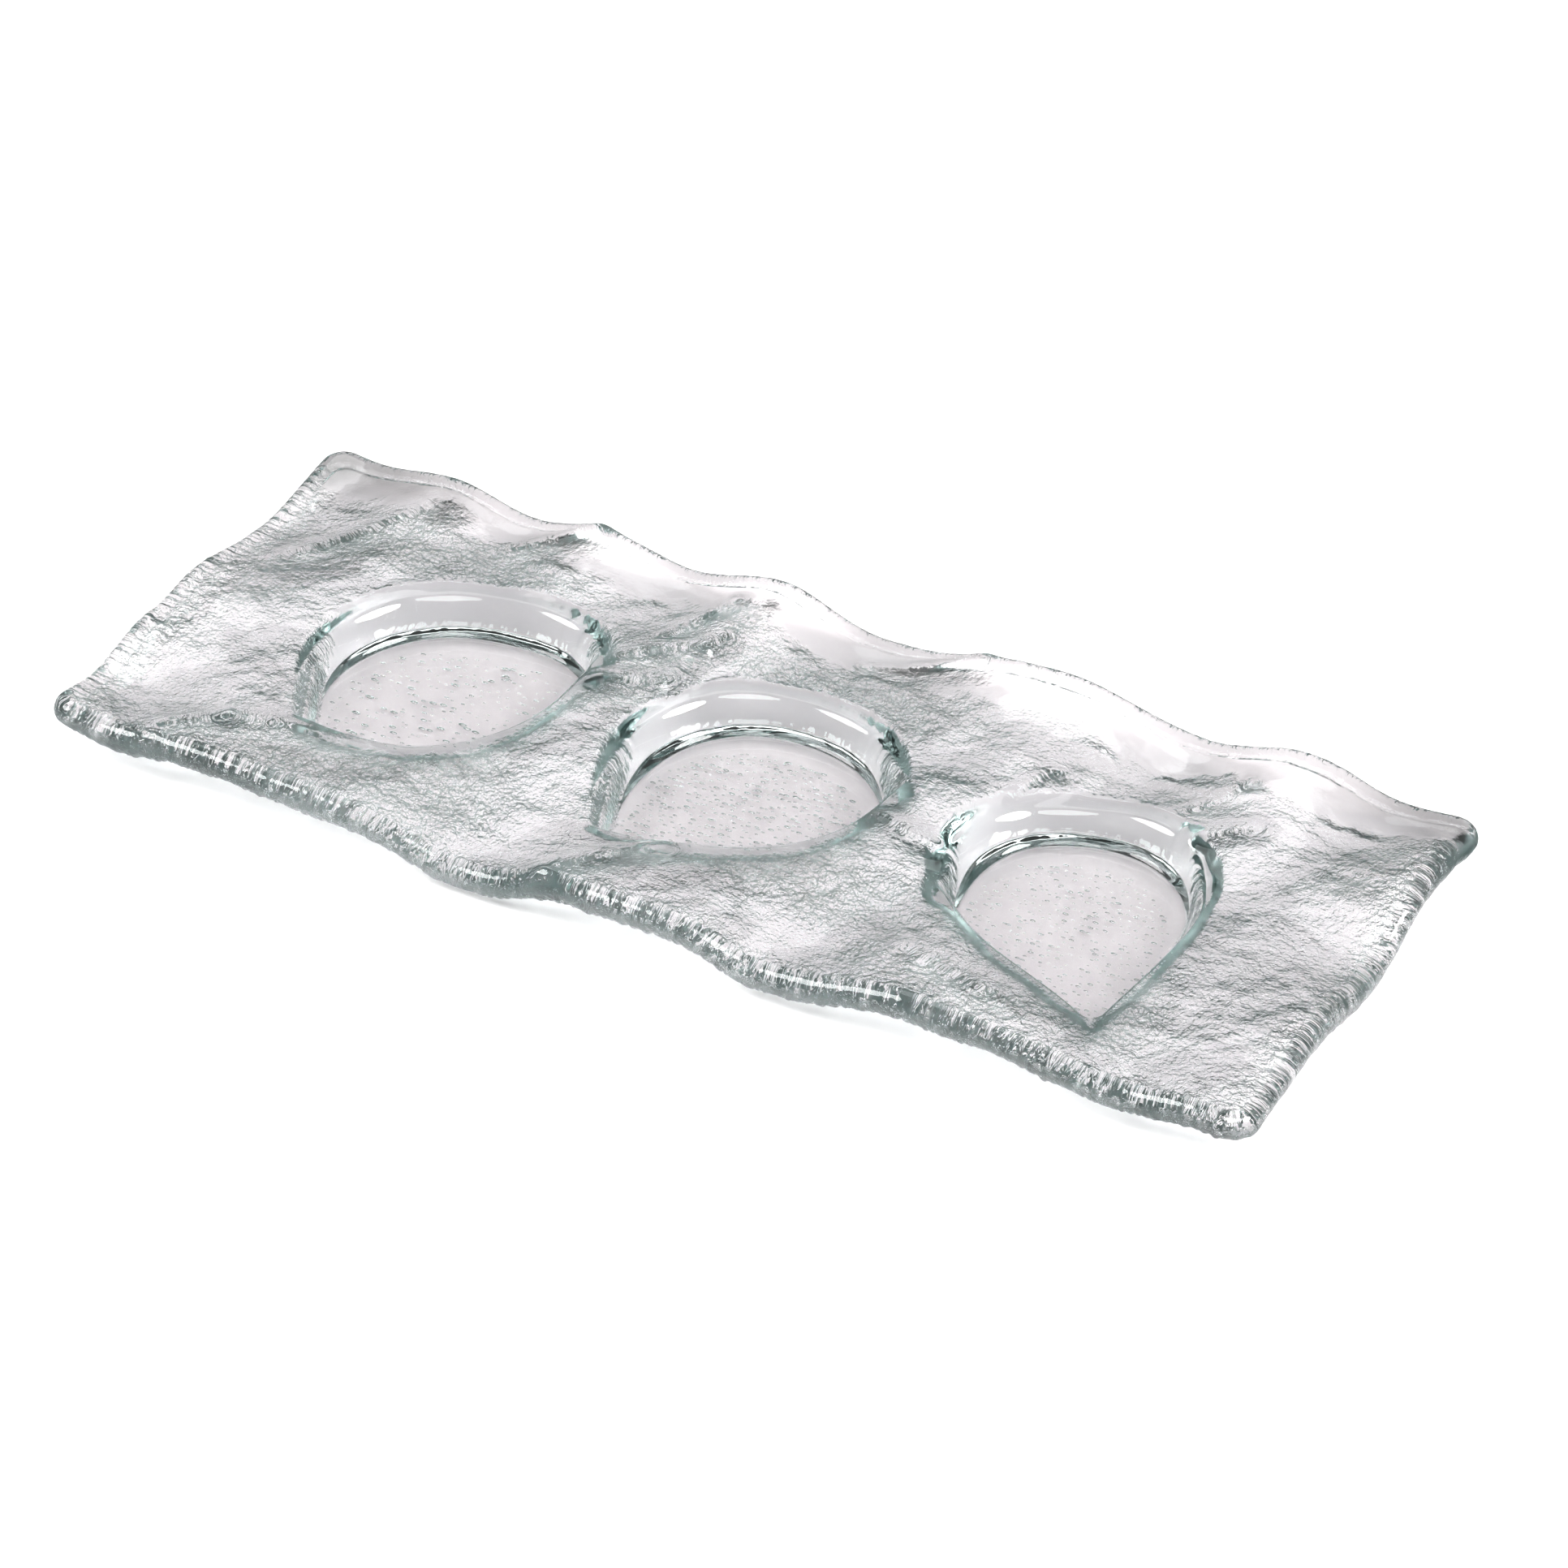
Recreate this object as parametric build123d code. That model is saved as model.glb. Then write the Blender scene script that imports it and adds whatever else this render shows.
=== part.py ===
from build123d import *
import math
import os

# A chip and dip server: one sheet of thick clear glass, slumped in a kiln so that three pointed
# wells are pressed down into it and its rim ripples. The origin is the middle of the footprint,
# on the plane that the undersides of the wells rest on. X runs along the tray, Y across it.

# Driving dimensions, mm
LENGTH = 406.0
WIDTH = 165.0
GLASS_THICKNESS = 10.0
CORNER_RADIUS = 9.0
RIM_ROUNDING = 4.4
MID_HEIGHT = 12.5
RIPPLE_REACH = 58.0
WELL_FLOOR_HEIGHT = 6.5
WELL_TOP_HEIGHT = 30.0
WELL_WALL_SLOPE = 24.0
WELL_MEAN_RADIUS = 35.0
FLOOR_ROUNDING = 3.0
WELL_RIM_ROUNDING = 1.8
BOSS_WALL = 6.6
BOSS_TOP_HEIGHT = 13.0
BOSS_ROUNDING = 2.0
SURFACE_STEP = 7.0
SURFACE_MARGIN = 8.0
SURFACE_TOLERANCE = 0.05
SAME_PLACE = 0.01
STEEP = 0.9

# Crests and troughs of the rim: distance along the side, height of the middle of the glass
BACK_RIM = [(-203, 13.5), (-183, 12), (-155, 16), (-126, 10.5), (-100, 15), (-69, 10), (-38, 16.5),
            (1, 7.5), (62, 17.5), (112, 10), (147, 16.5), (179, 10), (203, 12)]
FRONT_RIM = [(-203, 14), (-178, 11.5), (-150, 14), (-100, 13), (-50, 7), (-15, 14), (15, 14),
             (52, 8), (95, 14.5), (117, 14.5), (157, 10), (189, 13), (203, 12)]
LEFT_RIM = [(-82.5, 14), (-52, 9.5), (-25, 13), (-3, 15), (41, 8.5), (82.5, 13.5)]
RIGHT_RIM = [(-82.5, 12), (-36, 15), (0, 8.5), (44, 17), (82.5, 12)]

# Folds that cross the sheet between the wells: start, end, rise, half width
FOLDS = [((-66, 3), (-32, 66), 2.2, 11), ((-62, -78), (-20, -52), -2.0, 13),
         ((44, 2), (74, 34), 2.0, 12), ((40, -78), (66, -44), -2.0, 12),
         ((84, 22), (108, 56), -2.5, 15), ((150, 10), (176, 62), -1.8, 14),
         ((-196, -40), (-158, 30), 1.8, 14)]

# Outline of each well's floor, as smooth runs that meet in its points
WELLS = {
    "left": [[(-131, -44), (-141, -16), (-136, 7), (-120, 23), (-100, 28), (-84, 27), (-74, 22)],
             [(-74, 22), (-72, 1), (-79, -24), (-93, -39), (-112, -45), (-131, -44)]],
    "middle": [[(-27, -45), (-33, -14), (-29, 8), (-15, 23), (4, 27), (24, 22), (39, 9)],
               [(39, 9), (36, -11), (25, -28), (7, -39), (-10, -45), (-27, -45)]],
    "right": [[(80, -23), (78, -2), (84, 14), (97, 23), (113, 26), (130, 20), (142, 4),
               (144, -18), (140, -54)],
              [(140, -54), (122, -47), (99, -37), (80, -23)]],
}


def wave(stations, distance):
    """Height between two neighbouring crests and troughs, joined by half a cosine."""
    if distance <= stations[0][0]:
        return stations[0][1]
    for (start, low), (end, high) in zip(stations, stations[1:]):
        if distance <= end:
            turn = math.pi * (distance - start) / (end - start)
            return low + (high - low) * (1 - math.cos(turn)) / 2
    return stations[-1][1]


def fade(inset):
    """How much of a rim's ripple is left at this distance inside it."""
    share = min(max(inset / RIPPLE_REACH, 0.0), 1.0)
    return (1 + math.cos(math.pi * share)) / 2


def fold_height(x, y):
    """Sum of the folds that cross the sheet, each a smooth ridge or valley along a line."""
    total = 0.0
    for (x0, y0), (x1, y1), rise, half_width in FOLDS:
        run = (x1 - x0) ** 2 + (y1 - y0) ** 2
        along = min(max(((x - x0) * (x1 - x0) + (y - y0) * (y1 - y0)) / run, 0.0), 1.0)
        gap = math.hypot(x - x0 - along * (x1 - x0), y - y0 - along * (y1 - y0))
        total += rise * math.exp(-((gap / half_width) ** 2))
    return total


def middle_height(x, y):
    """Height of the middle of the glass at a point of the plan."""
    across = fade(WIDTH / 2 - abs(y))
    along = fade(LENGTH / 2 - abs(x))
    long_rim = BACK_RIM if y > 0 else FRONT_RIM
    short_rim = RIGHT_RIM if x > 0 else LEFT_RIM
    corner = long_rim[-1 if x > 0 else 0][1] - MID_HEIGHT
    ripple = (wave(long_rim, x) - MID_HEIGHT) * across + (wave(short_rim, y) - MID_HEIGHT) * along
    return MID_HEIGHT + ripple - corner * across * along + fold_height(x, y)


def steps(size):
    """Evenly spaced stations across one side of the sheet, a little past its rim."""
    reach = size / 2 + SURFACE_MARGIN
    count = round(2 * reach / SURFACE_STEP)
    return [-reach + 2 * reach * number / count for number in range(count + 1)]


def rim_edges(slab):
    """The two loops where the sheet's faces meet its upright sides."""
    return [edge for edge in slab.edges() if abs((edge % 0.5).Z) < STEEP]


def rippled_sheet():
    """The wavy sheet of even thickness, cut to its outline, with its rim fire-polished round."""
    top = GLASS_THICKNESS / 2
    grid = [[Vector(x, y, middle_height(x, y) + top) for y in steps(WIDTH)] for x in steps(LENGTH)]
    surface = Face.make_surface_from_array_of_points(grid, tol=SURFACE_TOLERANCE, max_deg=3)
    slab = Solid.extrude(surface, Vector(0, 0, -GLASS_THICKNESS))
    plan = RectangleRounded(LENGTH, WIDTH, CORNER_RADIUS)
    outline = Pos(0, 0, -WELL_TOP_HEIGHT) * extrude(plan, 2 * WELL_TOP_HEIGHT)
    sheet = slab & outline
    return sheet.fillet(RIM_ROUNDING, rim_edges(sheet))


def well_wire(runs, height, growth):
    """Closed outline of a well at a height, grown outwards about its middle."""
    points = [Vector(*point) for run in runs for point in run[:-1]]
    middle = sum(points, Vector()) / len(points)
    scale = 1 + growth / WELL_MEAN_RADIUS
    lift = Vector(0, 0, height)
    grown = [[middle + (Vector(*point) - middle) * scale + lift for point in run] for run in runs]
    return Wire([Edge.make_spline(run) for run in grown])


def wall_growth(height):
    """Outward lean of a well's wall at a height above its floor."""
    return (height - WELL_FLOOR_HEIGHT) * math.tan(math.radians(WELL_WALL_SLOPE))


def lowest_edges(solid):
    """The loop of edges round the bottom of a solid."""
    bottom = solid.bounding_box().min.Z
    return [edge for edge in solid.edges() if (edge @ 0.5).Z < bottom + SAME_PLACE]


def well_hollow(runs):
    """The space that a well takes out of the sheet, rounded where its walls meet its floor."""
    floor = well_wire(runs, WELL_FLOOR_HEIGHT, 0)
    top = well_wire(runs, WELL_TOP_HEIGHT, wall_growth(WELL_TOP_HEIGHT))
    hollow = Solid.make_loft([floor, top], ruled=True)
    return hollow.fillet(FLOOR_ROUNDING, lowest_edges(hollow))


def well_boss(runs):
    """The glass that a well pushes out below the sheet, with its flat underside."""
    underside = well_wire(runs, 0, wall_growth(0) + BOSS_WALL)
    top = well_wire(runs, BOSS_TOP_HEIGHT, wall_growth(BOSS_TOP_HEIGHT) + BOSS_WALL)
    boss = Solid.make_loft([underside, top], ruled=True)
    return boss.fillet(BOSS_ROUNDING, lowest_edges(boss))


def press_well(sheet, runs):
    """Press one well into the sheet, and round its rim and the creases at its points."""
    backed = sheet + well_boss(runs)
    pressed = (backed - well_hollow(runs)).solid()
    before = [edge @ 0.5 for edge in backed.edges()]
    above = WELL_FLOOR_HEIGHT + FLOOR_ROUNDING
    sharp = [edge for edge in pressed.edges()
             if (edge @ 0.5).Z > above and all((edge @ 0.5 - old).length > SAME_PLACE for old in before)]
    return pressed.fillet(WELL_RIM_ROUNDING, sharp)


def main():
    os.makedirs("parts", exist_ok=True)
    tray = rippled_sheet()
    for runs in WELLS.values():
        tray = press_well(tray, runs)
    tray.label = "glass_tray"
    export_step(tray, "parts/glass_tray.step")
    box = tray.bounding_box()
    print(f"glass_tray: valid {tray.is_valid}, {tray.volume:.0f} mm3, z {box.min.Z:.2f} to {box.max.Z:.2f}")


main()
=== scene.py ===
import bpy
import math
import numpy as np
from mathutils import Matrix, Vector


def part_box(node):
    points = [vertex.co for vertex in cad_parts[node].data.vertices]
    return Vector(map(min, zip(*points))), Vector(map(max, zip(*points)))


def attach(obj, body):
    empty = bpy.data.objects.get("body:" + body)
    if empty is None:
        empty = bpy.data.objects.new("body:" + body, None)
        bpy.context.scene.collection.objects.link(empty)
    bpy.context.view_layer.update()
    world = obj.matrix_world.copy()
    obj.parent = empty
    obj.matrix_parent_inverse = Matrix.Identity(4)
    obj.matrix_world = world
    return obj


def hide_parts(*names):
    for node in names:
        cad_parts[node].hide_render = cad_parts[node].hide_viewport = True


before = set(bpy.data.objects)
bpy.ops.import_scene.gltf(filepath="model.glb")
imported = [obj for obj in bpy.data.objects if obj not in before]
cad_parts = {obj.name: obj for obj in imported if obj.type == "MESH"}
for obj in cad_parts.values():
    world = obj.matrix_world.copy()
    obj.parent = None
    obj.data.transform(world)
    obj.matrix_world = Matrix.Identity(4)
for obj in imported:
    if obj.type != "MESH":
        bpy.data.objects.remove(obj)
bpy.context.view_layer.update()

# A chip and dip server: one sheet of thick clear glass, slumped so that three pointed wells sink
# into it and its rim ripples. Shapes are worked out in millimetres and stored in metres.
MM = 0.001
NODE = "glass_tray"
low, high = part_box(NODE)
LENGTH = (high.x - low.x) / MM
WIDTH = (high.y - low.y) / MM

# Glass, mm. CELL is the mesh's grid, and LOWEST is the least height of the rough underside.
THICKNESS = 10.0
MID_HEIGHT = 12.5
RIM_RADIUS = 5.0
CORNER_RADIUS = 9.0
RIPPLE_REACH = 58.0
WELL_FLOOR = 6.5
WALL_RISE = 1 / math.tan(math.radians(24))
CELL = 0.5
RIM_STEPS = 20
LOWEST = 0.35

# Walls of the wells, mm: how far the outer face of a wall stands back from the floor's outline on
# its thin and its thick side, which way the thick side faces, and how softly the faces meet. Each
# pair of roundings is the thin side's and what the thick side adds.
WALL_NEAR_SIDE, WALL_FAR_SIDE = 2.0, 15.0
FAR_SIDE = (-0.45, 0.89)
FOOT_ROUNDING = (3.0, 1.5)
RIM_ROUNDING = (2.0, 4.0)
OUTER_ROUNDING = (3.0, 3.0)
OUTER_TOP_ROUNDING = 3.0
LEVEL_BLEND = 0.8
WELL_REACH = 40.0

# Gentle waves, mm: seed, length, width and height of each layer. The sheet's own waves move both
# faces and the top's waves one, and they fade out near a well. Streaks run down the wells' walls.
SHEET_WAVES = [(55, 31.0, 24.0, 0.7)]
TOP_WAVES = [(51, 17.0, 13.0, 0.3), (52, 6.0, 5.0, 0.06)]
STREAKS = [(53, 4.2, 30.0, 0.3), (54, 1.9, 30.0, 0.1)]
CALM_START, CALM_END = 2.0, 12.0

# How the edges of the clear glass wander round a well and along the back, in the same form. The
# relief begins this far inside a thin wall's outer foot, and further out below a thick wall.
WELL_EDGE = [(31, 2.4, 2.4, 1.1), (32, 9.0, 9.0, 1.0)]
BAND_EDGE = [(33, 24.0, 24.0, 5.0), (34, 5.0, 5.0, 3.0)]
CLEAR_INSIDE, CLEAR_EXTRA = 3.5, 8.0

# Relief of the underside, mm: seed, length and width of its marks, height where the relief is
# plain, and what is added where it is finest. Ridged marks are narrow crests, the others are round.
ROUND_MARKS = [(21, 14.0, 12.0, 0.48, 0.40), (22, 5.0, 4.6, 0.22, 0.16), (24, 1.5, 1.4, 0.05, 0.23)]
RIDGED_MARKS = [(23, 2.9, 2.6, 0.04, 0.42), (29, 1.9, 1.7, 0.02, 0.27)]

# How fine the plainest stretches are and the share of the grain that they keep, where the fine
# relief along the rim ends, and how far the marks bend aside and over what length, mm
FINE_PATCHES = [(25, 14.0, 10.0, 0.24)]
PLAIN_SHARE, PLAIN_GRAIN = 0.14, 0.28
FINE_RIM, PLAIN_RIM = 7.0, 18.0
BEND_REACH, BEND_SCALE = 6.0, 30.0

# Strokes that run in from the front, right and left rims, mm
STROKE_LENGTH, STROKE_WIDTH, STROKE_HEIGHT = 11.0, 2.0, 0.55
STROKE_START, STROKE_REACH = 3.0, 15.0

# The smooth band along the back, and the ledge in the underside at its edge, mm
CLEAR_BAND = 19.0
LEDGE_HEIGHT, LEDGE_HALF_WIDTH = 1.3, 3.5

# Teeth of the lower rim: seed, length along the rim, turns round its section, depth, mm
TEETH = [(41, 1.7, 2.2, 0.7), (42, 4.5, 1.5, 0.6)]
TEETH_START = 0.45
TEETH_AT_BACK = 0.25

# Bubbles in each well's floor: spacing, share of places filled, least and greatest width, mm
BUBBLE_PITCH = [3.2, 2.4, 2.6]
BUBBLE_FILL = [0.8, 0.92, 0.85]
BUBBLE_SMALL = [0.7, 0.8, 0.6]
BUBBLE_LARGE = [2.4, 1.8, 1.6]

# Every bubble: its length, width and height as shares of its own size, and how far it keeps from
# the foot of the near wall, with what the far wall adds
BUBBLE_STRETCH = (1.35, 0.6, 0.7)
BUBBLE_INSET, BUBBLE_FAR_INSET = 2.5, 5.5

# Crests and troughs of the rim: distance along the side, height of the middle of the glass
BACK_RIM = [(-203, 13.5), (-183, 12), (-155, 16), (-126, 10.5), (-100, 15), (-69, 10), (-38, 16.5),
            (1, 7.5), (62, 17.5), (112, 10), (147, 16.5), (179, 10), (203, 12)]
FRONT_RIM = [(-203, 14), (-178, 11.5), (-150, 14), (-100, 13), (-50, 7), (-15, 14), (15, 14),
             (52, 8), (95, 14.5), (117, 14.5), (157, 10), (189, 13), (203, 12)]
LEFT_RIM = [(-82.5, 14), (-52, 9.5), (-25, 13), (-3, 15), (41, 8.5), (82.5, 13.5)]
RIGHT_RIM = [(-82.5, 12), (-36, 15), (0, 8.5), (44, 17), (82.5, 12)]

# Folds that cross the sheet: start, end, rise, half width
FOLDS = [((-66, 3), (-32, 66), 2.2, 11), ((-62, -78), (-20, -52), -2.0, 13),
         ((44, 2), (74, 34), 2.0, 12), ((40, -78), (66, -44), -2.0, 12),
         ((84, 22), (108, 56), -2.5, 15), ((150, 10), (176, 62), -1.8, 14),
         ((-196, -40), (-158, 30), 1.8, 14)]

# Creases in the top surface alone: start, end, rise, half width
CREASES = [((-178, 22), (-152, 62), 2.4, 7), ((-119, 60), (-101, 76), 1.8, 5),
           ((-64, 8), (-42, 17), 2.6, 5), ((-42, 20), (-37, 44), 2.4, 5),
           ((-53, 38), (-43, 63), 1.5, 4), ((-60, 24), (-40, 38), 1.7, 4),
           ((-106, -50), (-148, -62), 2.0, 5), ((-148, -62), (-164, -74), 1.8, 5),
           ((-2, -52), (-28, -78), 2.6, 5), ((46, -10), (70, -13), 2.2, 5),
           ((76, 22), (82, 36), 1.8, 4), ((4, 61), (36, 75), 1.8, 4),
           ((131, 29), (146, 40), 2.4, 4.5), ((126, 42), (136, 59), 1.3, 3.5),
           ((84, -60), (112, -68), 1.6, 5)]

# Stretches where the relief below is at its finest: middle, then half length and half width
FINE_ZONES = [(-135, 52, 38, 20), (0, 50, 42, 13), (-82, -48, 24, 22), (-120, -66, 45, 12),
              (40, -35, 35, 18), (100, -64, 28, 10), (-55, 20, 22, 20), (150, -45, 10, 20)]

# Shallow channels that run on from the wells' points: start, end, depth, half width
CHANNELS = [((-74, 22), (-54, 28), 1.3, 4), ((-131, -44), (-147, -50), 1.2, 5),
            ((-27, -45), (-44, -52), 2.2, 7), ((39, 9), (54, 8), 1.2, 4),
            ((80, -23), (66, -19), 1.2, 4), ((140, -54), (145, -66), 1.8, 4)]

# Outline of each well's floor, as smooth runs that meet in its points
WELLS = [
    [[(-131, -44), (-141, -16), (-136, 7), (-120, 23), (-100, 28), (-84, 27), (-74, 22)],
     [(-74, 22), (-72, 1), (-79, -24), (-93, -39), (-112, -45), (-131, -44)]],
    [[(-27, -45), (-33, -14), (-29, 8), (-15, 23), (4, 27), (24, 22), (39, 9)],
     [(39, 9), (36, -11), (25, -28), (7, -39), (-10, -45), (-27, -45)]],
    [[(80, -23), (78, -2), (84, 14), (97, 23), (113, 26), (130, 20), (142, 4),
      (144, -18), (140, -54)],
     [(140, -54), (122, -47), (99, -37), (80, -23)]],
]

# Glass: how it bends light, what its body absorbs, then the noise that bumps and frosts it
GLASS_IOR = 1.52
GLASS_TINT, GLASS_DENSITY = (0.765, 0.815, 0.81, 1), 40.0
GRAIN_SCALE, GRAIN_DEPTH = 800.0, 1.3
RIPPLE_SCALE, RIPPLE_DEPTH = 90.0, 0.10
FROST_SCALE, FROST = 420.0, 0.012

# Table, metres: its size and its drop below the tray, its colours, and how far out what the glass
# gathers from it is painted dark, as painted shade in the table's colour
FLOOR_SIZE, FLOOR_DROP = 6.0, 0.0003
FLOOR_UNDER_GLASS = (0.88, 0.82, 0.84, 1)
FLOOR_OPEN = (0.93, 0.925, 0.93, 1)
# The third colour is painted shade: seen through the glass, the table turns near black away from the tray
FLOOR_PAINTED_SHADE = (0.10, 0.10, 0.10, 1)
PAINTED_SHADE_START, PAINTED_SHADE_END = 0.095, 0.13

# Camera: where the view is from, round the tray and in metres, its lens in millimetres, and the
# tone and light bounces of the picture
AZIMUTH, ELEVATION = math.radians(29.5), math.radians(37.2)
DISTANCE = 1.7645
LENS, SENSOR = 134.2, 36
SHIFT_X, SHIFT_Y = 0.0178, 0.0134
GAMMA = 0.8
BOUNCES, GLOSSY_BOUNCES = 24, 16

# Studio, seen from the camera: brightness of the walls and roof, the soft boxes' soft edge, then
# each box's bearing (0 is straight ahead, positive to the right), height, half width and brightness
WALL_NEAR, WALL_FAR, ROOF = 0.04, 0.12, 0.12
BOX_EDGE = math.radians(2)
SOFT_BOXES = [(math.radians(114), math.radians(45), math.radians(14), 21.6),
              (math.radians(-90), math.radians(45), math.radians(14), 14.0),
              (math.radians(0), math.radians(60), math.radians(16), 2.6),
              (math.radians(180), math.radians(66), math.radians(16), 8.6)]


# ---------------------------------------------------------------- shape of the sheet

def wave(stations, distance):
    """Heights between neighbouring crests and troughs, joined by half a cosine."""
    places, heights = np.array(stations, float).T
    span = np.clip(np.searchsorted(places, distance) - 1, 0, len(places) - 2)
    share = np.clip((distance - places[span]) / (places[span + 1] - places[span]), 0, 1)
    ease = (1 - np.cos(np.pi * share)) / 2
    return heights[span] + (heights[span + 1] - heights[span]) * ease


def line_distance(x, y, start, end):
    """Distance to a straight line between two points, and how far along it the nearest point is."""
    (x0, y0), (x1, y1) = start, end
    run_x, run_y = x1 - x0, y1 - y0
    share = np.clip(((x - x0) * run_x + (y - y0) * run_y) / (run_x ** 2 + run_y ** 2), 0, 1)
    return np.hypot(x - x0 - share * run_x, y - y0 - share * run_y), share


def bell(gap, half_width):
    """A smooth hump: 1 on the line, and nearly 0 two half widths from it."""
    return np.exp(-((gap / half_width) ** 2))


def fade(inset):
    """How much of a rim's ripple is left at this distance inside it."""
    return (1 + np.cos(np.pi * np.clip(inset / RIPPLE_REACH, 0, 1))) / 2


def middle_height(x, y):
    """Height of the middle of the glass over the plan, as in the CAD solid."""
    across = fade(WIDTH / 2 - np.abs(y))
    along = fade(LENGTH / 2 - np.abs(x))
    long_rim = np.where(y > 0, wave(BACK_RIM, x), wave(FRONT_RIM, x)) - MID_HEIGHT
    short_rim = np.where(x > 0, wave(RIGHT_RIM, y), wave(LEFT_RIM, y)) - MID_HEIGHT
    back_end = np.where(x > 0, BACK_RIM[-1][1], BACK_RIM[0][1])
    front_end = np.where(x > 0, FRONT_RIM[-1][1], FRONT_RIM[0][1])
    corner = np.where(y > 0, back_end, front_end) - MID_HEIGHT
    height = MID_HEIGHT + long_rim * across + short_rim * along - corner * across * along
    for start, end, rise, half_width in FOLDS:
        gap, _ = line_distance(x, y, start, end)
        height = height + rise * bell(gap, half_width)
    return height


def natural_spline(points, per_span=10):
    """Points along the smooth curve that passes through each given point."""
    points = np.array(points, float)
    place = np.r_[0, np.cumsum(np.linalg.norm(np.diff(points, axis=0), axis=1))]
    step = np.diff(place)
    count = len(points)
    system = np.zeros((count, count))
    right = np.zeros((count, 2))
    system[0, 0] = system[-1, -1] = 1
    slope = np.diff(points, axis=0) / step[:, None]
    for k in range(1, count - 1):
        system[k, k - 1:k + 2] = step[k - 1], 2 * (step[k - 1] + step[k]), step[k]
        right[k] = 6 * (slope[k] - slope[k - 1])
    bend = np.linalg.solve(system, right)
    runs = []
    for k in range(count - 1):
        t = np.linspace(0, step[k], per_span, endpoint=False)[:, None]
        start = slope[k] - step[k] * (2 * bend[k] + bend[k + 1]) / 6
        runs.append(points[k] + start * t + bend[k] * t ** 2 / 2
                    + (bend[k + 1] - bend[k]) * t ** 3 / (6 * step[k]))
    return np.vstack(runs)


def outline_distance(outline, x, y):
    """Signed distance to a closed outline, negative inside it and level beyond WELL_REACH."""
    result = np.full(x.shape, WELL_REACH)
    lo, hi = outline.min(0) - WELL_REACH, outline.max(0) + WELL_REACH
    near = (x > lo[0]) & (x < hi[0]) & (y > lo[1]) & (y < hi[1])
    px, py = x[near], y[near]
    best = np.full(px.shape, 1e9)
    inside = np.zeros(px.shape, bool)
    for (ax, ay), (bx, by) in zip(outline, np.roll(outline, -1, axis=0)):
        ux, uy = bx - ax, by - ay
        share = np.clip(((px - ax) * ux + (py - ay) * uy) / (ux * ux + uy * uy), 0, 1)
        off_x, off_y = px - ax - share * ux, py - ay - share * uy
        best = np.minimum(best, off_x ** 2 + off_y ** 2)
        crosses = (ay > py) != (by > py)
        if uy:
            inside ^= crosses & (px < ux * (py - ay) / uy + ax)
    gap = np.sqrt(best)
    result[near] = np.minimum(np.where(inside, -gap, gap), WELL_REACH)
    return result


def smooth_max(a, b, blend):
    """The larger of two heights, rounded where they cross."""
    share = np.clip(0.5 + 0.5 * (a - b) / blend, 0, 1)
    return b + (a - b) * share + blend * share * (1 - share)


def smooth_min(a, b, blend):
    return -smooth_max(-a, -b, blend)


def smoothstep(low_edge, high_edge, value):
    share = np.clip((value - low_edge) / (high_edge - low_edge), 0, 1)
    return share * share * (3 - 2 * share)


def gradient_noise(u, v, seed):
    """Seeded smooth noise from about -1 to 1, with features one unit across."""
    size = 256
    angle = np.random.default_rng(seed).uniform(0, 2 * np.pi, (size, size))
    ax, ay = np.cos(angle), np.sin(angle)
    i, j = np.floor(u).astype(int), np.floor(v).astype(int)
    fu, fv = u - i, v - j
    su = fu ** 3 * (fu * (6 * fu - 15) + 10)
    sv = fv ** 3 * (fv * (6 * fv - 15) + 10)

    def corner(di, dj):
        a, b = (i + di) % size, (j + dj) % size
        return ax[a, b] * (fu - di) + ay[a, b] * (fv - dj)

    near = corner(0, 0) * (1 - su) + corner(1, 0) * su
    far = corner(0, 1) * (1 - su) + corner(1, 1) * su
    return 1.5 * (near * (1 - sv) + far * sv)


def layered_noise(layers, x, y):
    """Sum of noise layers, each given as a seed, length, width and height."""
    return sum(height * gradient_noise(x / long, y / wide, seed) for seed, long, wide, height in layers)


def fineness(x, y):
    """Where the relief is at its finest, from 0 to 1."""
    fine = layered_noise(FINE_PATCHES, x, y)
    for zone_x, zone_y, half_x, half_y in FINE_ZONES:
        fine = fine + bell(x - zone_x, half_x) * bell(y - zone_y, half_y)
    from_rim = np.minimum(np.minimum(x + LENGTH / 2, LENGTH / 2 - x), y + WIDTH / 2)
    inner = PLAIN_SHARE + (1 - PLAIN_SHARE) * smoothstep(0.1, 0.8, fine)
    return np.maximum(inner, 0.9 * (1 - smoothstep(FINE_RIM, PLAIN_RIM, from_rim)))


def relief(x, y, fine):
    """The bark-like relief that the mould leaves on the underside, mm."""
    u = x + BEND_REACH * gradient_noise(x / BEND_SCALE, y / BEND_SCALE, 11)
    v = y + BEND_REACH * gradient_noise(x / BEND_SCALE, y / BEND_SCALE, 12)
    height = np.zeros(x.shape)
    for seed, long, wide, plain, extra in ROUND_MARKS:
        height += (plain + extra * fine) * gradient_noise(u / long, v / wide, seed)
    for seed, long, wide, plain, extra in RIDGED_MARKS:
        height += (plain + extra * fine) * (1 - 2 * np.abs(gradient_noise(u / long, v / wide, seed)))
    from_front, from_right, from_left = y + WIDTH / 2, LENGTH / 2 - x, x + LENGTH / 2
    inwards = gradient_noise(x / STROKE_WIDTH, y / STROKE_LENGTH, 26)
    strokes = inwards * (1 - smoothstep(STROKE_START, STROKE_REACH, from_front))
    for share, seed, from_side in ((1.0, 27, from_right), (0.6, 28, from_left)):
        inwards = gradient_noise(x / STROKE_LENGTH, y / STROKE_WIDTH, seed)
        strokes += share * inwards * (1 - smoothstep(STROKE_START, STROKE_REACH, from_side))
    from_back = WIDTH / 2 - y
    patches = smoothstep(-0.2, 0.3, gradient_noise(x / 26, y / 26, 35))
    ledge = LEDGE_HEIGHT * bell(from_back - CLEAR_BAND - 4, LEDGE_HALF_WIDTH) * patches
    return height + STROKE_HEIGHT * strokes + ledge


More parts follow.
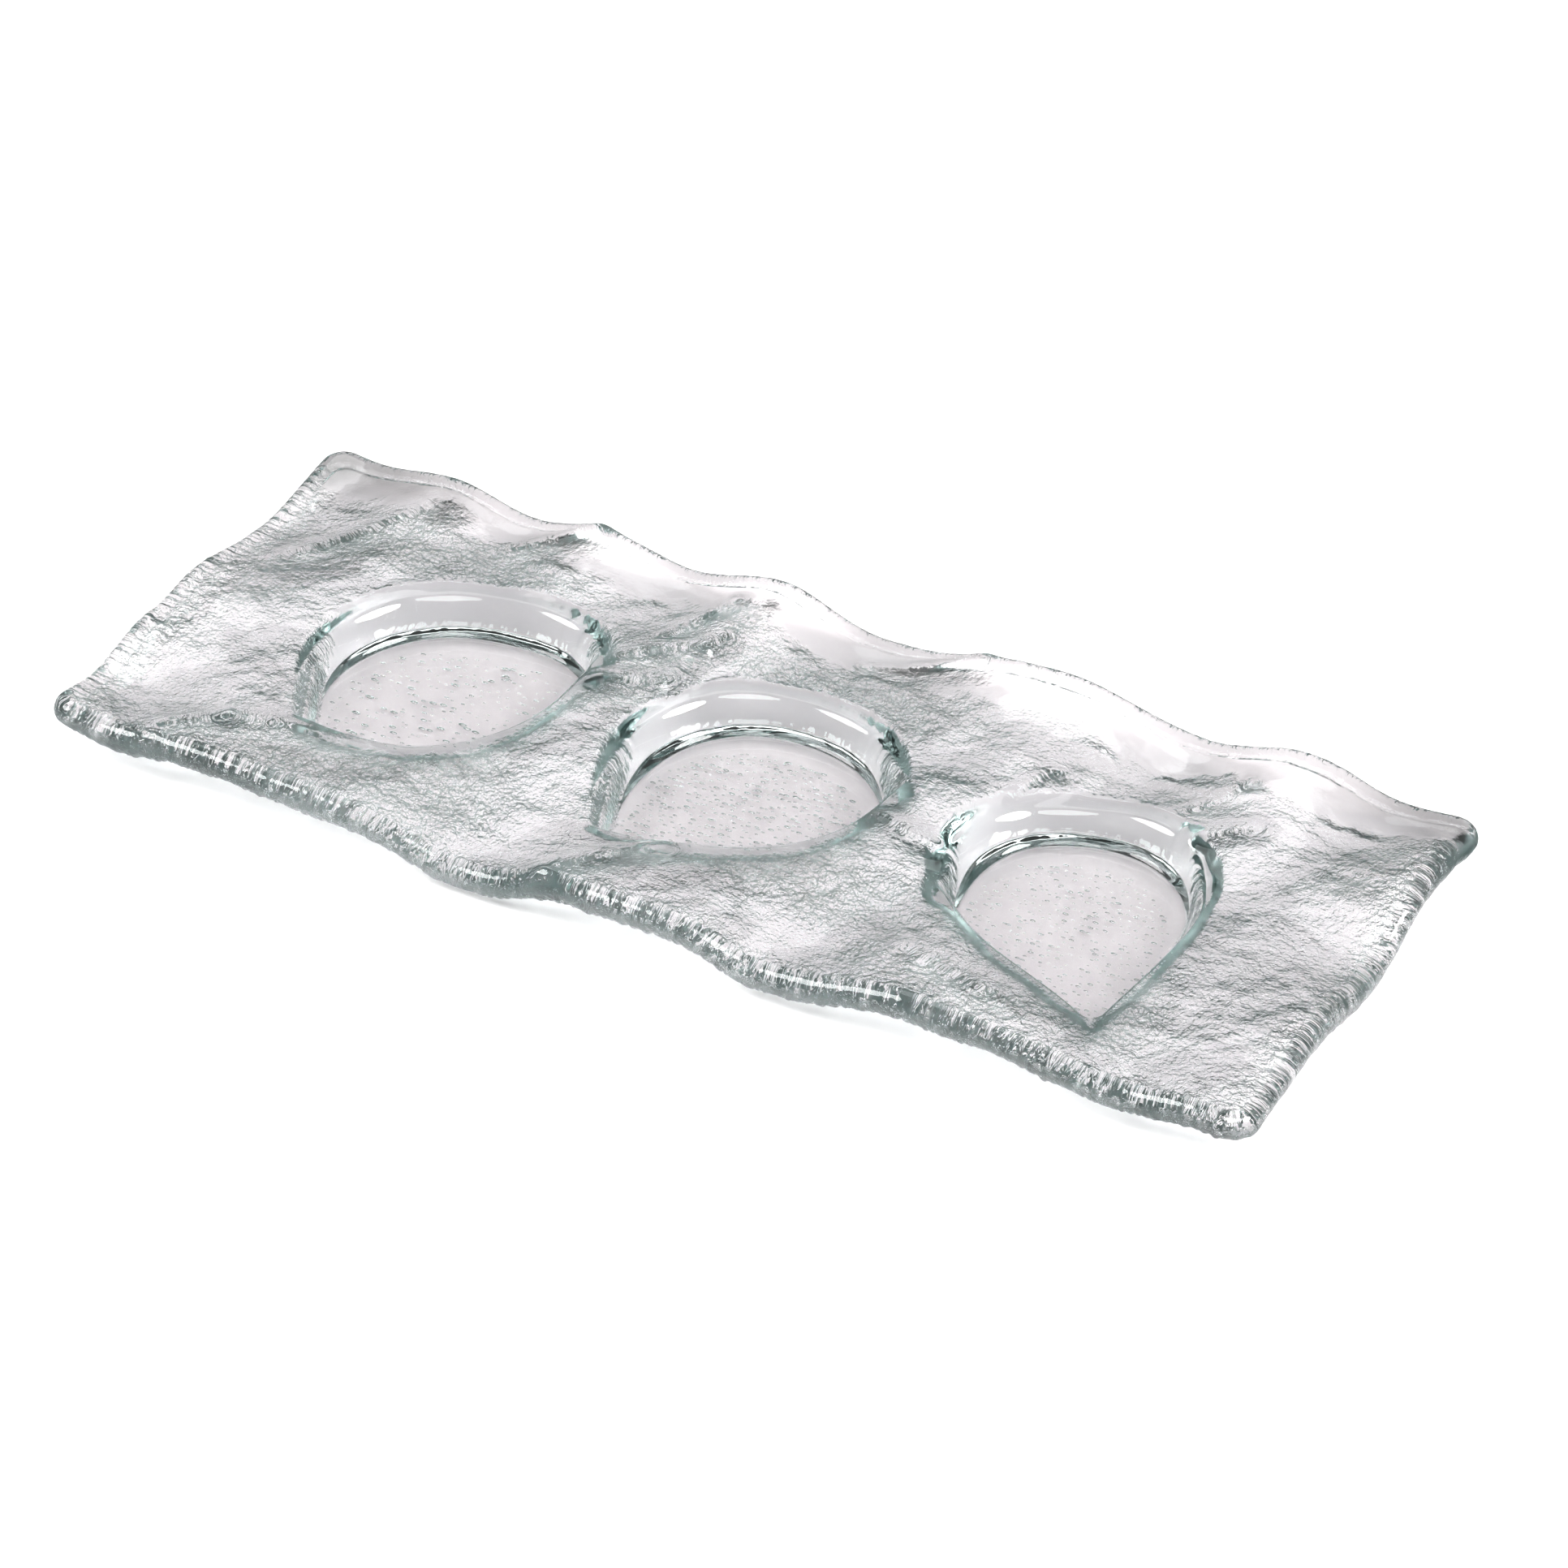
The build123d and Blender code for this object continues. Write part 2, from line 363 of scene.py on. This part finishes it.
outlines = [np.vstack([natural_spline(run) for run in runs]) for runs in WELLS]


def well_distance(x, y):
    """Distance to the nearest well's outline, and the direction there from that well's middle."""
    gap = np.full(x.shape, WELL_REACH)
    outward_x, outward_y = np.zeros(x.shape), np.zeros(x.shape)
    for outline in outlines:
        one_gap = outline_distance(outline, x, y)
        middle_x, middle_y = outline.mean(axis=0)
        reach = np.hypot(x - middle_x, y - middle_y) + 1.0
        closer = one_gap < gap
        outward_x = np.where(closer, (x - middle_x) / reach, outward_x)
        outward_y = np.where(closer, (y - middle_y) / reach, outward_y)
        gap = np.minimum(gap, one_gap)
    return gap, outward_x, outward_y


def heights(x, y):
    """Top and underside of the glass over the plan, and how rough the underside is."""
    middle = middle_height(x, y)
    gap, outward_x, outward_y = well_distance(x, y)
    away = smoothstep(CALM_START, CALM_END, gap)
    middle = middle + away * layered_noise(SHEET_WAVES, x, y)
    swell = layered_noise(TOP_WAVES, x, y)
    creased = 0.0
    for start, end, rise, half_width in CREASES:
        off, _ = line_distance(x, y, start, end)
        swell = swell + rise * bell(off, half_width)
        creased = np.maximum(creased, bell(off, 1.6 * half_width))
    sheet_top = middle + THICKNESS / 2 + swell * away
    for start, end, depth, half_width in CHANNELS:
        off, share = line_distance(x, y, start, end)
        sheet_top = sheet_top - depth * (1 - 0.75 * share) * bell(off, half_width)
    sheet_base = middle - THICKNESS / 2
    towards_back = smoothstep(-0.35, 0.9, outward_x * FAR_SIDE[0] + outward_y * FAR_SIDE[1])

    def rounding(least_and_extra):
        return least_and_extra[0] + least_and_extra[1] * towards_back

    top = smooth_max(WELL_FLOOR + WALL_RISE * gap, WELL_FLOOR, rounding(FOOT_ROUNDING))
    top = smooth_min(top, sheet_top, rounding(RIM_ROUNDING))
    streaks = towards_back * layered_noise(STREAKS, x, y)
    offset = WALL_NEAR_SIDE + (WALL_FAR_SIDE - WALL_NEAR_SIDE) * towards_back + streaks
    base = smooth_max(WALL_RISE * (gap - offset), 0.0, rounding(OUTER_ROUNDING))
    base = smooth_min(base, sheet_base, OUTER_TOP_ROUNDING)
    clear = offset - streaks - CLEAR_INSIDE + CLEAR_EXTRA * towards_back
    rough = smoothstep(clear - 0.6, clear + 1.4, gap + layered_noise(WELL_EDGE, x, y))
    from_back = WIDTH / 2 - y + layered_noise(BAND_EDGE, x, y)
    past_band = smoothstep(CLEAR_BAND - 5, CLEAR_BAND + 3, from_back)
    rough = rough * np.maximum(0.06 + 0.94 * past_band, 0.7 * creased)
    lifted = smoothstep(-2.5, 1.5, gap)
    fine = fineness(x, y)
    marked = smooth_max(base + rough * relief(x, y, fine), LOWEST, LEVEL_BLEND)
    base = marked * lifted + base * (1 - lifted)
    return top, base, rough * (PLAIN_GRAIN + (1 - PLAIN_GRAIN) * fine)


# ---------------------------------------------------------------- mesh of the glass

def rounded_plan(half_x, half_y, corner, count_x, count_y):
    """Grid over a rounded rectangle; only its corner squares are bent."""
    x = np.linspace(-half_x, half_x, count_x)[:, None] * np.ones((1, count_y))
    y = np.linspace(-half_y, half_y, count_y)[None, :] * np.ones((count_x, 1))
    s = np.clip((np.abs(x) - half_x + corner) / corner, 0, 1)
    t = np.clip((np.abs(y) - half_y + corner) / corner, 0, 1)
    inward_x = corner * s * (1 - np.sqrt(1 - t * t / 2))
    inward_y = corner * t * (1 - np.sqrt(1 - s * s / 2))
    return x - np.sign(x) * inward_x, y - np.sign(y) * inward_y


def perimeter(count_x, count_y):
    """Grid indices round the edge, anticlockwise."""
    index = np.arange(count_x * count_y).reshape(count_x, count_y)
    return np.concatenate([index[:-1, 0], index[-1, :-1], index[:0:-1, -1], index[0, :0:-1]])


def bubble(centre, size, rings=5, around=8):
    """A small lens-shaped hollow, facing inwards: its vertices and faces of four corners."""
    points, faces = [], []
    for k in range(rings):
        tilt = math.pi * (k + 0.25) / (rings - 0.5)
        for m in range(around):
            turn = 2 * math.pi * m / around
            level_reach = math.sin(tilt)
            points.append([level_reach * math.cos(turn), level_reach * math.sin(turn), math.cos(tilt)])
    for k in range(rings - 1):
        above, below = k * around, (k + 1) * around
        for m in range(around):
            after = (m + 1) % around
            faces.append([above + m, above + after, below + after, below + m])
    for k in (0, rings - 1):
        for m in range(1, around - 2, 2):
            corners = [k * around, k * around + m, k * around + m + 1, k * around + m + 2]
            faces.append(corners[::-1] if k == 0 else corners)
    return np.array(points) * size + centre, np.array(faces)


def glass_mesh():
    """Vertices, faces and roughness of the tray: top, underside and the round rim that joins them."""
    half_x, half_y = LENGTH / 2 - RIM_RADIUS, WIDTH / 2 - RIM_RADIUS
    count_x = int(2 * half_x / CELL) + 1
    count_y = int(2 * half_y / CELL) + 1
    x, y = rounded_plan(half_x, half_y, CORNER_RADIUS - RIM_RADIUS, count_x, count_y)
    top, base, rough = heights(x, y)
    top_points = np.stack([x, y, top], -1).reshape(-1, 3)
    base_points = np.stack([x, y, base], -1).reshape(-1, 3)
    loop = perimeter(count_x, count_y)
    edge = top_points[loop, :2]
    along = np.roll(edge, -1, axis=0) - np.roll(edge, 1, axis=0)
    along /= np.linalg.norm(along, axis=1)[:, None]
    outward = np.stack([along[:, 1], -along[:, 0]], -1)
    upper, lower = top_points[loop, 2], base_points[loop, 2]
    travel = np.r_[0, np.cumsum(np.linalg.norm(np.diff(edge, axis=0), axis=1))]
    calm = TEETH_AT_BACK + (1 - TEETH_AT_BACK) * smoothstep(-0.6, 0.6, -outward[:, 1])
    rings, wear = [], []
    for step in range(1, RIM_STEPS):
        turn = math.pi / 2 - math.pi * step / RIM_STEPS
        under = max(0.0, TEETH_START - math.sin(turn)) / (1 + TEETH_START)
        teeth = np.zeros(len(loop))
        for seed, long, turns, depth in TEETH:
            teeth += depth * gradient_noise(travel / long, np.full_like(travel, turns * turn), seed)
        worn = np.minimum(0.0, teeth * under * calm)
        ring = np.empty((len(loop), 3))
        ring[:, :2] = edge + outward * ((RIM_RADIUS + worn) * math.cos(turn))[:, None]
        middle, half = (upper + lower) / 2, (upper - lower) / 2
        ring[:, 2] = middle + (half + worn) * math.sin(turn)
        rings.append(ring)
        wear.append(under * calm)
    parts = [top_points, base_points] + rings
    total = count_x * count_y
    index = np.arange(total).reshape(count_x, count_y)
    quads = np.stack([index[:-1, :-1], index[1:, :-1], index[1:, 1:], index[:-1, 1:]], -1).reshape(-1, 4)
    faces = [quads, quads[:, ::-1] + total]
    ring_starts = [2 * total + k * len(loop) for k in range(len(rings))]
    circles = [loop] + [start + np.arange(len(loop)) for start in ring_starts] + [loop + total]
    for one, two in zip(circles, circles[1:]):
        faces.append(np.stack([one, two, np.roll(two, -1), np.roll(one, -1)], -1))
    roughness = [np.zeros(total), rough.ravel()] + wear
    count = sum(len(part) for part in parts)
    for centre, size in bubble_places():
        hollow, sides = bubble(centre, size)
        faces.append(sides + count)
        count += len(hollow)
        parts.append(hollow)
        roughness.append(np.zeros(len(hollow)))
    return np.vstack(parts), np.vstack(faces), np.concatenate(roughness)


def bubble_places():
    """Where the small bubbles sit, just above the underside of each well's floor, and their sizes."""
    chance = np.random.default_rng(61)
    places = []
    wells = zip(outlines, BUBBLE_PITCH, BUBBLE_FILL, BUBBLE_SMALL, BUBBLE_LARGE)
    for outline, pitch, fill, smallest, largest in wells:
        lo, hi = outline.min(0), outline.max(0)
        across, deep = ((hi - lo) / pitch).astype(int)
        columns, rows = (grid.ravel() for grid in np.meshgrid(np.arange(across), np.arange(deep)))
        count = len(columns)
        spot_x = lo[0] + (columns + 0.5 + 0.5 * (rows % 2)) * pitch + chance.normal(0, 0.2 * pitch, count)
        spot_y = lo[1] + (rows + 0.5) * pitch + chance.normal(0, 0.2 * pitch, count)
        radius = (smallest + (largest - smallest) * chance.uniform(0, 1, count) ** 2.5) / 2
        flat, level = chance.uniform(0.5, 0.95, count), chance.uniform(1.2, 2.4, count)
        gap = outline_distance(outline, spot_x, spot_y)
        backward = np.clip((spot_y - outline[:, 1].mean()) / 30, 0, 1)
        kept = (chance.uniform(0, 1, count) < fill) & (gap < -BUBBLE_INSET - BUBBLE_FAR_INSET * backward)
        for k in np.flatnonzero(kept):
            size = radius[k] * np.array(BUBBLE_STRETCH) * (1, 1, flat[k])
            places.append((np.array([spot_x[k], spot_y[k], level[k]]), size))
    return places


def make_piece(name, points, faces, roughness):
    """A mesh object from arrays of points in millimetres and faces of four corners."""
    mesh = bpy.data.meshes.new(name)
    mesh.vertices.add(len(points))
    mesh.vertices.foreach_set("co", (points * MM).astype(np.float32).ravel())
    mesh.loops.add(faces.size)
    mesh.loops.foreach_set("vertex_index", faces.astype(np.int32).ravel())
    mesh.polygons.add(len(faces))
    mesh.polygons.foreach_set("loop_start", np.arange(0, faces.size, faces.shape[1], dtype=np.int32))
    mesh.polygons.foreach_set("loop_total", np.full(len(faces), faces.shape[1], dtype=np.int32))
    mesh.update(calc_edges=True)
    mesh.attributes.new("rough", "FLOAT", "POINT").data.foreach_set("value", roughness.astype(np.float32))
    mesh.polygons.foreach_set("use_smooth", np.ones(len(mesh.polygons), bool))
    piece = bpy.data.objects.new(name, mesh)
    bpy.context.scene.collection.objects.link(piece)
    return piece


# ---------------------------------------------------------------- materials

def calculate(nodes, links, operation, *terms):
    """A Math node on numbers or sockets; returns its output."""
    node = nodes.new("ShaderNodeMath")
    node.operation = operation
    for socket, term in zip(node.inputs, terms):
        if isinstance(term, (int, float)):
            socket.default_value = term
        else:
            links.new(term, socket)
    return node.outputs["Value"]


def glass_material():
    """Clear glass with a faint green cast: cast relief below, a smooth fire-polished top."""
    material = bpy.data.materials.new("clear_glass")
    material.use_nodes = True
    nodes, links = material.node_tree.nodes, material.node_tree.links
    shader = nodes["Principled BSDF"]
    shader.inputs["Base Color"].default_value = (1, 1, 1, 1)
    shader.inputs["Transmission Weight"].default_value = 1.0
    shader.inputs["IOR"].default_value = GLASS_IOR
    place = nodes.new("ShaderNodeTexCoord")
    rough = nodes.new("ShaderNodeAttribute")
    rough.attribute_name = "rough"

    def noise(scale, detail, distortion=0.0):
        node = nodes.new("ShaderNodeTexNoise")
        node.inputs["Scale"].default_value = scale
        node.inputs["Detail"].default_value = detail
        node.inputs["Distortion"].default_value = distortion
        links.new(place.outputs["Object"], node.inputs["Vector"])
        return node.outputs["Fac"]

    def times(one, other):
        return calculate(nodes, links, "MULTIPLY", one, other)

    grain = times(noise(GRAIN_SCALE, 3.0, 0.6), times(rough.outputs["Fac"], GRAIN_DEPTH))
    ripple = times(noise(RIPPLE_SCALE, 2.0), RIPPLE_DEPTH)
    bump = nodes.new("ShaderNodeBump")
    bump.inputs["Strength"].default_value = 1.0
    bump.inputs["Distance"].default_value = MM
    links.new(calculate(nodes, links, "ADD", grain, ripple), bump.inputs["Height"])
    links.new(bump.outputs["Normal"], shader.inputs["Normal"])
    frost = times(noise(FROST_SCALE, 4.0), times(rough.outputs["Fac"], FROST))
    links.new(frost, shader.inputs["Roughness"])
    absorb = nodes.new("ShaderNodeVolumeAbsorption")
    absorb.inputs["Color"].default_value = GLASS_TINT
    absorb.inputs["Density"].default_value = GLASS_DENSITY
    links.new(absorb.outputs["Volume"], nodes["Material Output"].inputs["Volume"])
    return material


def floor_material():
    """A pale matt table. The camera sees it evenly lit; what the glass gathers from it is painted
    darker away from the tray: painted shade in its colour, in place of a studio's black cards."""
    material = bpy.data.materials.new("pale_floor")
    material.use_nodes = True
    nodes, links = material.node_tree.nodes, material.node_tree.links
    shader = nodes["Principled BSDF"]
    shader.inputs["Roughness"].default_value = 0.6
    place = nodes.new("ShaderNodeTexCoord")
    shrink = nodes.new("ShaderNodeVectorMath")
    shrink.operation = "MULTIPLY"
    shrink.inputs[1].default_value = (WIDTH / LENGTH, 1.0, 0.0)
    links.new(place.outputs["Object"], shrink.inputs[0])
    reach = nodes.new("ShaderNodeVectorMath")
    reach.operation = "LENGTH"
    links.new(shrink.outputs["Vector"], reach.inputs[0])
    # Painted shade: away from the tray, the colour that the glass gathers from the table turns near black
    painted_shade_ramp = nodes.new("ShaderNodeMapRange")
    painted_shade_ramp.interpolation_type = "SMOOTHSTEP"
    painted_shade_ramp.inputs["From Min"].default_value = PAINTED_SHADE_START
    painted_shade_ramp.inputs["From Max"].default_value = PAINTED_SHADE_END
    links.new(reach.outputs["Value"], painted_shade_ramp.inputs["Value"])
    gathered = nodes.new("ShaderNodeMix")
    gathered.data_type = "RGBA"
    gathered.inputs["A"].default_value = FLOOR_UNDER_GLASS
    gathered.inputs["B"].default_value = FLOOR_PAINTED_SHADE
    links.new(painted_shade_ramp.outputs["Result"], gathered.inputs["Factor"])
    path = nodes.new("ShaderNodeLightPath")
    mix = nodes.new("ShaderNodeMix")
    mix.data_type = "RGBA"
    mix.inputs["B"].default_value = FLOOR_OPEN
    links.new(gathered.outputs["Result"], mix.inputs["A"])
    links.new(path.outputs["Is Camera Ray"], mix.inputs["Factor"])
    links.new(mix.outputs["Result"], shader.inputs["Base Color"])
    return material


# ---------------------------------------------------------------- studio

def studio_world():
    """A dark room with four soft boxes, which the camera itself sees as plain white."""
    world = bpy.data.worlds.new("studio")
    bpy.context.scene.world = world
    world.use_nodes = True
    nodes, links = world.node_tree.nodes, world.node_tree.links
    output = nodes["World Output"]
    seen = nodes["Background"]
    seen.inputs["Color"].default_value = (1, 1, 1, 1)
    seen.inputs["Strength"].default_value = 1.0
    coordinates = nodes.new("ShaderNodeTexCoord")
    turned = nodes.new("ShaderNodeVectorRotate")
    turned.rotation_type = "Z_AXIS"
    turned.inputs["Angle"].default_value = -AZIMUTH
    links.new(coordinates.outputs["Generated"], turned.inputs["Vector"])
    split = nodes.new("ShaderNodeSeparateXYZ")
    links.new(turned.outputs["Vector"], split.inputs["Vector"])

    def value(operation, *terms):
        return calculate(nodes, links, operation, *terms)

    def ramp(term, start, end, first, last):
        node = nodes.new("ShaderNodeMapRange")
        node.interpolation_type = "SMOOTHSTEP"
        links.new(term, node.inputs["Value"])
        for name, number in zip(("From Min", "From Max", "To Min", "To Max"), (start, end, first, last)):
            node.inputs[name].default_value = number
        return node.outputs["Result"]

    away, up = split.outputs["Y"], split.outputs["Z"]
    wall = ramp(away, 0.0, 0.5, WALL_NEAR, WALL_FAR)
    roof = ramp(up, 0.25, 0.45, 0.0, 1.0)
    low_light = value("MULTIPLY", wall, value("SUBTRACT", 1.0, roof))
    light = value("ADD", low_light, value("MULTIPLY", roof, ROOF))
    for bearing, rise, half, strength in SOFT_BOXES:
        level = math.cos(rise)
        direction = (level * math.sin(bearing), level * math.cos(bearing), math.sin(rise))
        dot = nodes.new("ShaderNodeVectorMath")
        dot.operation = "DOT_PRODUCT"
        links.new(turned.outputs["Vector"], dot.inputs[0])
        dot.inputs[1].default_value = direction
        glow = ramp(dot.outputs["Value"], math.cos(half + BOX_EDGE), math.cos(half), 0.0, strength)
        light = value("ADD", light, glow)
    lit = nodes.new("ShaderNodeBackground")
    links.new(light, lit.inputs["Strength"])
    path = nodes.new("ShaderNodeLightPath")
    mix = nodes.new("ShaderNodeMixShader")
    links.new(path.outputs["Is Camera Ray"], mix.inputs["Fac"])
    links.new(lit.outputs["Background"], mix.inputs[1])
    links.new(seen.outputs["Background"], mix.inputs[2])
    links.new(mix.outputs["Shader"], output.inputs["Surface"])


tray = make_piece("tray_glass", *glass_mesh())
tray.data.materials.append(glass_material())
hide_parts(NODE)
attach(tray, "root")

bpy.ops.mesh.primitive_plane_add(size=FLOOR_SIZE, location=(0, 0, -FLOOR_DROP))
floor = bpy.context.object
floor.name = "floor"
floor.data.materials.append(floor_material())
studio_world()

camera_data = bpy.data.cameras.new("camera")
camera = bpy.data.objects.new("camera", camera_data)
bpy.context.scene.collection.objects.link(camera)
camera.location = (DISTANCE * math.sin(AZIMUTH) * math.cos(ELEVATION),
                   -DISTANCE * math.cos(AZIMUTH) * math.cos(ELEVATION),
                   DISTANCE * math.sin(ELEVATION))
camera.rotation_euler = (math.pi / 2 - ELEVATION, 0, AZIMUTH)
camera_data.sensor_width = SENSOR
camera_data.lens = LENS
camera_data.shift_x = SHIFT_X
camera_data.shift_y = SHIFT_Y
bpy.context.scene.camera = camera
scene = bpy.context.scene
scene.view_settings.view_transform = "Standard"
scene.view_settings.gamma = GAMMA
scene.cycles.max_bounces = BOUNCES
scene.cycles.transmission_bounces = BOUNCES
scene.cycles.glossy_bounces = GLOSSY_BOUNCES
